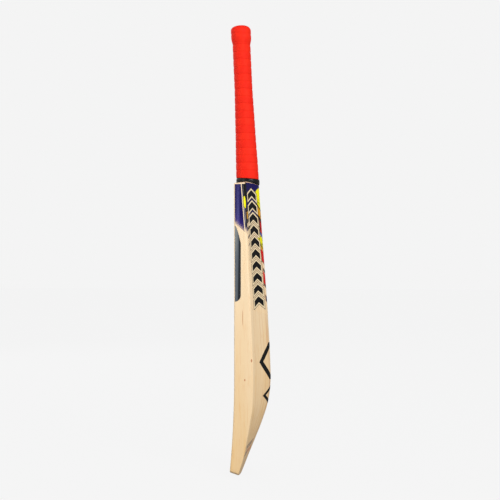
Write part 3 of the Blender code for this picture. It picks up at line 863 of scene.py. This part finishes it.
def make_cane_mat(name, shade):
    """Streaked cane with long pores; shade lightens its red and green."""
    sheet = Sheet(name)
    streak = sheet.grain(per_mm=(1.1, 1.1, 0.012), detail=4.0, rough=0.7)
    pores = sheet.cells(sheet.x * 1.15, sheet.y * 1.15, sheet.z * 0.03)
    holes = Value(sheet, pores["Distance"]).fall(0.10, 0.26)
    dark, light = srgb(196 + shade, 156 + shade, 100), srgb(226 + shade, 190 + shade, 136)
    colour = sheet.ramp(streak, (0.25, dark), (0.75, light))
    colour = colour.stain(srgb(150, 104, 60), mask=holes * 0.6)
    return sheet.finish(
        colour, rough=0.5 + streak * 0.2, bump=streak - holes * 0.8, height=0.08
    )


def make_spring_mat():
    sheet = Sheet("spring_rubber_fine")
    grain = sheet.grain(per_mm=(1.6, 1.6, 0.6), detail=3.0, rough=0.6)
    colour = sheet.mix(grain, srgb(30, 29, 28), srgb(62, 60, 58))
    return sheet.finish(colour, rough=0.6 + grain * 0.2, bump=grain, height=0.08)


def make_twine_mat():
    sheet = Sheet("twine_fine")
    turns = (sheet.z * (2 * math.pi / TWINE_PITCH)).sine()
    fuzz = sheet.grain(per_mm=(3.0, 3.0, 3.0), detail=3.0, rough=0.7)
    # the troughs between the turns are darker: painted shade in the crevices of the twine
    colour = sheet.mix(turns.rise(-0.9, 0.4), srgb(132, 118, 90), srgb(214, 202, 170))
    colour = colour.stain(srgb(170, 150, 120), mask=fuzz * 0.3)
    return sheet.finish(colour, rough=0.7, bump=turns + fuzz * 0.4, height=0.3)


def dress_handle_core():
    """Gives the frame's cane, spring and twine pieces their materials."""
    cane = [
        make_cane_mat(f"cane_fine_{letter}", shade)
        for letter, shade in (("a", 0), ("b", 10), ("c", -8))
    ]
    spring = make_spring_mat()
    twine = make_twine_mat()
    for name, node in frame["nodes"].items():
        if name.startswith("cane"):
            mat = cane[sum(map(ord, name)) % 3]
        elif name.startswith("spring"):
            mat = spring
        elif name == "twine_binding":
            mat = twine
        else:
            continue
        node.data.materials.clear()
        node.data.materials.append(mat)


# ---- printed film materials ----------------------------------------------------------
NAVY = srgb(20, 11, 84)
CREAM = srgb(250, 228, 186)
BLACK = srgb(14, 14, 16)
YELLOW = srgb(255, 246, 10)
GOLD = srgb(240, 172, 20)
RED = srgb(214, 24, 24)
PRINT_TOP = 551.0  # height the tapering lines are counted down from
EDGE_DOT_PITCH = 1.25
# thin lines on the edge: distance behind the pinstripe, half width, lower end, tint
EDGE_LINES = (
    (1.7, 0.45, 466.0, srgb(60, 58, 84)),
    (3.6, 0.5, 463.0, srgb(34, 32, 50)),
    (2.7, 0.35, 474.0, srgb(176, 170, 176)),
)
# splinters on the back: slanted height from and to, distance from the ridge from and to, tint
SPLINTERS = (
    (566.0, 600.0, 45.5, 60.0, BLACK), (522.0, 548.0, 44.0, 60.0, BLACK),
    (530.0, 543.0, 46.5, 60.0, GOLD), (508.0, 514.0, 30.0, 60.0, BLACK),
    (494.0, 498.0, 34.0, 60.0, srgb(60, 56, 70)), (480.0, 482.5, 36.0, 60.0, srgb(90, 84, 90)),
)
# shards by the ridge: slanted height from and to, reach from the ridge, tint
SHARDS = (
    (503.0, 560.0, 15.0, YELLOW), (499.5, 503.0, 15.0, BLACK), (484.0, 499.5, 15.5, GOLD),
    (478.0, 484.0, 14.0, BLACK), (455.0, 478.0, 10.5, BLACK), (456.0, 478.0, 8.0, RED),
    (449.0, 455.0, 10.5, BLACK), (450.0, 454.0, 9.5, srgb(86, 104, 190)),
    (430.0, 447.0, 17.5, YELLOW), (427.5, 430.0, 17.0, BLACK), (422.0, 427.5, 16.5, GOLD),
    (400.0, 421.5, 12.0, RED), (398.0, 400.0, 12.0, BLACK),
    (382.0, 388.0, 8.0, srgb(40, 36, 40)), (359.0, 381.0, 9.0, RED),
    (354.0, 359.0, 8.5, BLACK), (327.0, 339.0, 6.5, srgb(56, 18, 38)),
)
CHEVRON_PITCH = 22.1
CHEVRON_FROM = 326.0
CHEVRON_SLOPE = 0.66
# chevron bands on the face: slanted height from and to, tint
FACE_BANDS = (
    (430.0, 438.0, RED), (438.0, 441.0, BLACK), (441.0, 451.0, YELLOW),
    (451.0, 454.0, BLACK), (500.0, 502.0, CREAM), (506.0, 512.0, GOLD),
)


def halftone(across, up, pitch, amount):
    """1 inside round dots of a slanted screen; amount sets how much of the area they cover."""
    first = ((across + up) / (pitch * 1.414)).fract() - 0.5
    second = ((across - up) / (pitch * 1.414)).fract() - 0.5
    distance = (first * first + second * second).sqrt()
    size = amount.sheet.math("MAXIMUM", amount, 0.0).sqrt() * 0.76
    return (size - distance).rise(-0.03, 0.03)


def scuffs(sheet, per_mm, start, end):
    return sheet.grain(per_mm, detail=3.0, rough=0.6).rise(start, end)


def edge_lens(sheet, colour, past):
    """Yellow lens with a black rim, behind the pinstripe."""
    tall = abs(sheet.z - 517.0) / 11.5
    width = sheet.math("MAXIMUM", 1.0 - tall * tall, 0.0).sqrt()
    aside = abs(past - 3.7)
    for half_width, tint in ((2.9, BLACK), (2.0, YELLOW)):
        colour = colour.cover(tint, mask=(width * half_width - aside).rise(-0.15, 0.25))
    return colour


def make_edge_film_mat():
    """Navy field breaking into dots below, a cream pinstripe, a dark strip and a yellow lens."""
    sheet = Sheet("edge_print")
    y, z = sheet.y, sheet.z
    willow = willow_look(sheet)[0]
    pinstripe = 14.3 + (PRINT_TOP - z) * 0.078
    past = y - pinstripe
    field_end = 477.5 + (y - 2.0) * -0.95 - past.rise(0.0, 1.0) * -6.0
    above = z - field_end
    dots = halftone(y, z, EDGE_DOT_PITCH, amount=above.remap((-2.0, 24.0), (0.04, 1.35)))
    # a lighter streak of dots inside the navy
    sheen = abs(y - 8.2).fall(1.2, 4.6) * z.remap((480.0, 545.0), (0.42, 0.22))
    light_dots = halftone(y, z, EDGE_DOT_PITCH, amount=sheen)
    navy = sheet.mix(light_dots * 0.52, NAVY, srgb(112, 110, 172))
    navy = navy.cover(srgb(72, 52, 140), mask=above.rise(30.0, 6.0) * 0.40)
    colour = willow.cover(navy, mask=dots)
    # behind the pinstripe: a darker strip, thin lines that run on below, a black bar, a lens
    colour = colour.cover(srgb(14, 9, 52), mask=past.rise(0.9, 1.3) * above.rise(6.0, 10.0))
    for middle, half_width, low, tint in EDGE_LINES:
        line = past.between(middle - half_width, middle + half_width, soft=0.2)
        line = line * z.rise(low, low + 10) * z.fall(506.0, 512.0)
        colour = colour.cover(tint, mask=line * 0.85)
    colour = colour.cover(BLACK, mask=past.rise(3.4, 3.9) * z.rise(524.0, 528.0))
    colour = edge_lens(sheet, colour, past)
    stripe = past.between(-0.75, 0.75, soft=0.15) * z.rise(458.0, 466.0)
    colour = colour.cover(CREAM, mask=stripe)
    scuff = scuffs(sheet, per_mm=(0.6, 0.6, 0.25), start=0.62, end=0.82)
    return sheet.finish(
        colour, rough=0.34 + scuff * 0.25, bump=scuff * 1.0, height=0.02,
        coat=0.05, coat_rough=0.3, specular=0.14,
    )


def make_tape_mat():
    """Slate tape: grey at its pointed top, near black towards the back, a soft streak."""
    sheet = Sheet("edge_tape_print")
    y, z = sheet.y, sheet.z
    slate, low_slate = srgb(84, 92, 102), srgb(58, 66, 76)
    colour = sheet.mix(z.remap((340.0, 440.0), (1.0, 0.0)) * 0.45, slate, low_slate)
    colour = colour.cover(srgb(122, 130, 136), mask=abs(y - 5.6).fall(0.6, 3.4) * 0.30)
    grey_top = z.rise(405.0, 462.0) * y.fall(5.0, 10.0)
    colour = colour.cover(srgb(138, 142, 140), mask=grey_top * 0.75)
    zone = (340.0, 450.0)
    dark_side = y.rise(z.remap(zone, (7.4, 9.4)), z.remap(zone, (8.8, 10.6)))
    colour = colour.cover(srgb(30, 35, 42), mask=dark_side)
    colour = colour.cover(srgb(18, 20, 26), mask=y.rise(12.3, 12.9) * 0.7)
    fine = sheet.grain(per_mm=(1.0, 2.4, 0.10), detail=3.0, rough=0.6)
    colour = colour.stain(srgb(190, 190, 196), mask=fine.rise(0.5, 0.75) * 0.25)
    scuff = scuffs(sheet, per_mm=(0.5, 0.5, 0.3), start=0.6, end=0.8)
    return sheet.finish(
        colour, rough=0.36 + scuff * 0.22, bump=scuff, height=0.03,
        coat=0.15, coat_rough=0.3, specular=0.3,
    )


def back_shards(sheet, colour, aside):
    """Bright cracked shards by the ridge."""
    z = sheet.z
    slide = z + aside * -0.9
    for low, high, reach, tint in SHARDS:
        shard = slide.between(low, high, soft=0.3) * aside.fall(reach - 0.3, reach + 0.3)
        shard = shard * (z + aside * aside * 0.028).fall(545.2, 545.8)
        colour = colour.cover(tint, mask=shard)
    cracks = sheet.cells(aside * 0.16, 0.0, z * 0.085, feature="DISTANCE_TO_EDGE")
    crack = Value(sheet, cracks["Distance"]).fall(0.035, 0.06)
    crack = crack * slide.between(422.0, 517.0, soft=0.3) * aside.fall(15.0, 16.0)
    return colour.cover(BLACK, mask=crack * 0.8)


def back_chevrons(sheet, colour, aside):
    """Chain of black chevrons with cream rims and a dark halo down each slope."""
    z = sheet.z
    down = PRINT_TOP - z
    inner = 12.0 - down * 0.013
    outer = 46.6 - down * 0.017
    fold = abs(aside - (inner + outer) * 0.5)
    height = z + fold * CHEVRON_SLOPE
    step = ((height - CHEVRON_FROM) / CHEVRON_PITCH).fract() * CHEVRON_PITCH
    span = height.rise(325.6, 326.2) * height.fall(546.4, 547.0)
    to_rim = sheet.math("MINIMUM", aside - inner, outer - aside)

    def layer(margin, low, high):
        return span * to_rim.rise(margin, margin + 0.4) * step.between(low, high, soft=0.3)

    halo = layer(margin=0.0, low=0.5, high=20.4)
    colour = colour.cover(srgb(36, 35, 38), mask=halo * 0.85)
    colour = colour.cover(CREAM, mask=layer(margin=1.4, low=1.9, high=19.0))
    return colour.cover(BLACK, mask=layer(margin=3.8, low=4.6, high=16.0))


def make_back_film_mat():
    """Navy top, splinters by the edge, shards by the ridge and chevrons between them."""
    sheet = Sheet("back_print")
    x, z = sheet.x, sheet.z
    willow = willow_look(sheet)[0]
    aside = abs(x)  # distance from the ridge
    # navy ground that ends in a ragged slant and a few dots
    ragged = sheet.noise(aside * 0.35, 0.0, z * 0.12, detail=1.0)
    over = z - (499.0 + aside * 0.30 + (ragged - 0.5) * 16.0)
    dots = halftone(x, z, pitch=1.7, amount=over.remap((-24.0, 1.0), (0.0, 1.1)))
    colour = willow.cover(NAVY, mask=sheet.math("MAXIMUM", over.rise(-0.5, 0.5), dots))
    slip = z + aside * 0.9
    for low, high, inner, outer, tint in SPLINTERS:
        splinter = slip.between(low, high, soft=0.4) * aside.between(inner, outer, soft=0.4)
        colour = colour.cover(tint, mask=splinter * 0.95)
    # thin grey line just inside the corner with the edge: painted shade along the corner
    line = aside.between(47.6, 48.5, soft=0.25) * z.rise(404.0, 410.0) * z.fall(500.0, 506.0)
    colour = colour.cover(srgb(110, 104, 100), mask=line * 0.55)
    colour = back_shards(sheet, colour, aside)
    colour = back_chevrons(sheet, colour, aside)
    scuff = scuffs(sheet, per_mm=(0.4, 0.4, 0.2), start=0.62, end=0.82)
    return sheet.finish(
        colour, rough=0.34 + scuff * 0.25, bump=scuff, height=0.02,
        coat=0.04, coat_rough=0.3, specular=0.10,
    )


def make_face_film_mat():
    """Navy field over dots, with chevron bands across it."""
    sheet = Sheet("face_print")
    x, z = sheet.x, sheet.z
    willow = willow_look(sheet)[0]
    aside = abs(x)

    def above_field_end():
        return z - (470.0 + aside * 0.6)

    field = above_field_end().rise(-0.5, 0.5)
    amount = above_field_end().remap((-34.0, 2.0), (0.0, 1.0))
    dots = halftone(x, z, pitch=1.8, amount=amount)
    colour = willow.cover(NAVY, mask=sheet.math("MAXIMUM", field, dots))
    slip = z + aside * 0.9
    for low, high, tint in FACE_BANDS:
        band = slip.between(low, high, soft=0.3) * aside.fall(21.5, 22.0)
        colour = colour.cover(tint, mask=band)
    scuff = scuffs(sheet, per_mm=(0.4, 0.4, 0.2), start=0.6, end=0.8)
    return sheet.finish(
        colour, rough=0.24 + scuff * 0.25, bump=scuff, height=0.02, coat=0.4, coat_rough=0.15
    )


def make_motif_mat():
    """Matt black print, a little worn."""
    sheet = Sheet("motif_print")
    worn = sheet.grain(per_mm=(1.3, 1.3, 0.5), detail=4.0, rough=0.7)
    colour = sheet.mix(worn.rise(0.62, 0.8), srgb(20, 20, 21), srgb(52, 49, 46))
    return sheet.finish(
        colour, rough=0.34 + worn * 0.2, bump=worn, height=0.02, specular=0.16
    )


# ---- printed films -------------------------------------------------------------------
FILM = 0.14
FILM_LIFT = 0.06
BACK_FILM_INNER = 0.25  # distances from the ridge
BACK_FILM_OUTER = 50.1
FACE_FILM_HALF = 26.0
FACE_FILM_TOP = 520.0
# half diamonds on each back slope: name, bottom, top, reach of the point, inset of the inner
# line, growth of the outer line, rows, whether it replaces the frame's piece
MOTIFS = (
    ("back_motif", 184.0, 254.0, 27.0, 5.0, 5.8, 64, True),
    ("back_mark", 138.0, 172.0, 21.0, 7.5, 1.0, 40, False),
)


def film(name, locate, rows, columns, mat, slot, *nodes):
    """Thin sheet; locate(share across, share up) gives a surface point and its normal."""
    spots = [
        locate(c / columns, r / rows) for r in range(rows + 1) for c in range(columns + 1)
    ]
    points = [
        tuple(p + d * lift for p, d in zip(point, normal))
        for lift in (FILM_LIFT, FILM_LIFT + FILM)
        for point, normal in spots
    ]
    wide = columns + 1
    size = len(spots)
    faces = []
    for r in range(rows):
        for c in range(columns):
            a = r * wide + c
            quad = (a, a + 1, a + wide + 1, a + wide)
            faces.append(quad)
            faces.append((size + a, *(size + k for k in quad[:0:-1])))
    rim = list(range(wide))
    rim += [r * wide + columns for r in range(1, rows + 1)]
    rim += [rows * wide + c for c in range(columns - 1, -1, -1)]
    rim += [r * wide for r in range(rows - 1, 0, -1)]
    for a, b in zip(rim, rim[1:] + rim[:1]):
        faces.append((a, b, size + b, size + a))
    hand_over(add_mesh(name, points, faces, mat, sharp=40), slot, *nodes)


def shoulder_inset(y, z):
    """How far the edge has rolled inwards under the rim of the willow's top."""
    below = SHOULDER_Z - SHOULDER_DROP - (z - shoulder_shear(z, y))
    share = min(1.0, max(0.0, 1 - below / SHOULDER_ROUND))
    return SHOULDER_ROUND * (1 - math.sqrt(max(0.0, 1 - share * share)))


def edge_point(run, z):
    """(x, y) on the edge; run is depth over its flat and arc length round its corners."""
    low, high = face_y(BLADE_HALF_WIDTH, z), back_y(BLADE_HALF_WIDTH, z)
    face_round, back_round = FACE_CORNER_RADIUS, back_corner_radius(z)
    if run < low + face_round:
        angle = min(math.pi / 2, (low + face_round - run) / face_round)
        x = BLADE_HALF_WIDTH - face_round * (1 - math.cos(angle))
        return x, face_y(x, z) + face_round * (1 - math.sin(angle))
    if run > high - back_round:
        angle = min(math.pi / 2, (run - high + back_round) / back_round)
        x = BLADE_HALF_WIDTH - back_round * (1 - math.cos(angle))
        return x, back_y(x, z) - back_round * (1 - math.sin(angle))
    return BLADE_HALF_WIDTH, run


def edge_end(z):
    """Where the back corner of the edge has turned fully to the back."""
    radius = back_corner_radius(z)
    return back_y(BLADE_HALF_WIDTH, z) - radius + radius * math.pi / 2 - 0.15


def edge_place(side, low_at, high_at, margin, end_at):
    """Places on an edge, from a margin behind the face to end_at(z)."""

    def locate(across, up):
        z = low_at(across) + (high_at(across) - low_at(across)) * up
        start = margin + face_y(BLADE_HALF_WIDTH, z)
        run = start + (end_at(z) - start) * across
        x, y = edge_point(run, z)
        (x0, y0), (x1, y1) = edge_point(run - 0.08, z), edge_point(run + 0.08, z)
        length = math.hypot(x1 - x0, y1 - y0)
        point = (side * (x - shoulder_inset(y, z)), y, z)
        return point, (side * (y1 - y0) / length, -(x1 - x0) / length, 0)

    return locate


def panel_spot(x, z, surface, way):
    """Point and outward normal on the face (way -1) or the back (way 1)."""
    slope = surface(x + 0.5, z) - surface(x - 0.5, z)
    rise = (surface(x, z + 2) - surface(x, z - 2)) / 4
    length = math.sqrt(1 + slope * slope + rise * rise)
    return (x, surface(x, z), z), (-way * slope / length, way / length, -way * rise / length)


def back_place(side):
    def locate(across, up):
        x = BACK_FILM_INNER + (BACK_FILM_OUTER - BACK_FILM_INNER) * across
        low = 304.0 + 16.0 * across
        # the upper end lies just under the rim of the willow's top
        fall = min(1.0, (BLADE_HALF_WIDTH - SHOULDER_ROUND - x) / 31)
        high = SHOULDER_Z - 3.5 + SHOULDER_DROP * fall
        high += shoulder_shear(high, back_y(x, high))
        return panel_spot(side * x, low + (high - low) * up, back_y, 1)

    return locate


def face_place(across, up):
    low = 398.0 + 22.0 * abs(across - 0.5)
    x = FACE_FILM_HALF * (2 * across - 1)
    return panel_spot(x, low + (FACE_FILM_TOP - low) * up, face_y, -1)


def motif_place(side, bottom, top, reach, inset, growth):
    """Places on half of a diamond that meets its twin at the ridge."""

    def locate(across, up):
        bulge = reach * (1 - abs(2 * up - 1))
        inner = max(0.8, bulge - inset)
        x = inner + (growth + bulge - inner) * across
        return panel_spot(side * x, bottom + (top - bottom) * up, back_y, 1)

    return locate


def make_films(edge_mat, tape_mat, back_mat, face_mat, motif_mat):
    for side, label in ((1, "right"), (-1, "left")):
        sticker = edge_place(
            side,
            low_at=lambda across: 478.0 - 21.0 * across,
            high_at=lambda across: SHOULDER_Z - 6.8 + 0.6 * across,
            margin=1.7, end_at=edge_end,
        )
        film(
            f"edge_sticker_fine_{label}", sticker, 44, 26, edge_mat,
            "printed_film", f"edge_sticker_{label}",
        )
        tape = edge_place(
            side,
            low_at=lambda across: 333.0 + 12.0 * (1 - math.sqrt(max(0.0, 1 - across * across))),
            high_at=lambda across: 474.0 - 33.0 * across**1.5,
            margin=1.6, end_at=lambda z: 13.5,
        )
        film(
            f"edge_tape_fine_{label}", tape, 70, 20, tape_mat,
            "edge_tape", f"edge_tape_{label}",
        )
        film(
            f"back_sticker_fine_{label}", back_place(side), 84, 44, back_mat,
            "printed_film", f"back_sticker_{label}",
        )
        for stem, *shape, rows, replaces in MOTIFS:
            nodes = [f"{stem}_{label}"] if replaces else []
            film(
                f"{stem}_fine_{label}", motif_place(side, *shape), rows, 8, motif_mat,
                "motif_film", *nodes,
            )
    film(
        "face_sticker_fine", face_place, 44, 36, face_mat, "printed_film", "face_sticker"
    )


# ---- build ---------------------------------------------------------------------------
make_blade(make_willow())
make_grip(make_grip_mat())
band_mat = make_band_mat()
make_first_turn(band_mat)
make_second_turn(band_mat)
dress_handle_core()
make_films(
    edge_mat=make_edge_film_mat(), tape_mat=make_tape_mat(), back_mat=make_back_film_mat(),
    face_mat=make_face_film_mat(), motif_mat=make_motif_mat(),
)

# ---- stage, light and camera ---------------------------------------------------------
scene = bpy.context.scene
PAPER = 0.905  # brightness of the background
FLOOR_HALF = 9
FLOOR_Z = -0.0004  # just under the toe, metres
CAMERA_TURN = math.radians(95.3)  # from straight in front of the face towards the +x edge
CAMERA_FAR = 1.90
AIM = Vector((0.0, (25.6 + FACE_PLANE) / 1000, (428.4 + DROP) / 1000))


def set_strength(tree, socket, lighting, seen):
    """Gives an emitter one strength as lighting and another as seen by the camera."""
    path = tree.nodes.new("ShaderNodeLightPath")
    level = tree.nodes.new("ShaderNodeMapRange")
    tree.links.new(path.outputs["Is Camera Ray"], level.inputs["Value"])
    level.inputs["To Min"].default_value = lighting
    level.inputs["To Max"].default_value = seen
    tree.links.new(level.outputs["Result"], socket)


def stage_material():
    """Glowing paper with a trace of diffuse shading."""
    mat = bpy.data.materials.new("paper_sweep")
    mat.use_nodes = True
    tree = mat.node_tree
    tree.nodes.clear()
    out = tree.nodes.new("ShaderNodeOutputMaterial")
    mixer = tree.nodes.new("ShaderNodeMixShader")
    glow = tree.nodes.new("ShaderNodeEmission")
    glow.inputs["Color"].default_value = (PAPER, PAPER, PAPER, 1)
    set_strength(tree, glow.inputs["Strength"], lighting=0.3, seen=1.012)
    paper = tree.nodes.new("ShaderNodeBsdfDiffuse")
    paper.inputs["Color"].default_value = (0.86, 0.86, 0.86, 1)
    mixer.inputs[0].default_value = 0.03  # share of the diffuse paper
    tree.links.new(glow.outputs[0], mixer.inputs[1])
    tree.links.new(paper.outputs[0], mixer.inputs[2])
    tree.links.new(mixer.outputs[0], out.inputs[0])
    return mat


def make_floor():
    corners = [
        (x * FLOOR_HALF, y * FLOOR_HALF, FLOOR_Z) for x, y in ((-1, -1), (1, -1), (1, 1), (-1, 1))
    ]
    mesh = bpy.data.meshes.new("floor")
    mesh.from_pydata(corners, [], [(0, 1, 2, 3)])
    floor = bpy.data.objects.new("floor", mesh)
    mesh.materials.append(stage_material())
    scene.collection.objects.link(floor)


def make_world():
    world = bpy.data.worlds.new("soft_room")
    world.use_nodes = True
    sky = world.node_tree.nodes["Background"]
    set_strength(world.node_tree, sky.inputs["Strength"], lighting=0.38, seen=PAPER)
    sky.inputs["Color"].default_value = (1.0, 1.0, 1.0, 1)
    scene.world = world


def place_looking(name, data, where, direction):
    made = bpy.data.objects.new(name, data)
    made.location = where
    made.rotation_mode = "QUATERNION"
    made.rotation_quaternion = direction.to_track_quat("-Z", "Y")
    scene.collection.objects.link(made)
    return made


def area(name, where, aim_z, size, power):
    """Rectangular light turned to a point on the frame's Z axis."""
    light = bpy.data.lights.new(name, "AREA")
    light.shape = "RECTANGLE"
    light.size, light.size_y = size
    light.energy = power
    place_looking(name, light, where, Vector((0, 0, aim_z)) - Vector(where))


def make_camera():
    away = Vector((math.sin(CAMERA_TURN), -math.cos(CAMERA_TURN), 0.0))
    lens = bpy.data.cameras.new("camera")
    lens.sensor_width = 36.0
    lens.lens = 72.0
    scene.camera = place_looking("camera", lens, AIM + away * CAMERA_FAR, -away)


make_floor()
make_world()
scene.view_settings.view_transform = "Standard"
scene.view_settings.look = "None"
scene.view_settings.exposure = 0.0
scene.view_settings.gamma = 1.0
area("key", where=(1.88, 1.32, 1.3), aim_z=0.40, size=(1.2, 1.4), power=42.0)
area("fill", where=(1.88, -1.32, 1.0), aim_z=0.43, size=(1.2, 1.4), power=13.0)
area("rear", where=(-1.9, -1.2, 1.4), aim_z=0.43, size=(1.6, 1.6), power=18.0)
area("front", where=(0.1, -2.3, 1.2), aim_z=0.43, size=(1.4, 1.4), power=10.0)
make_camera()
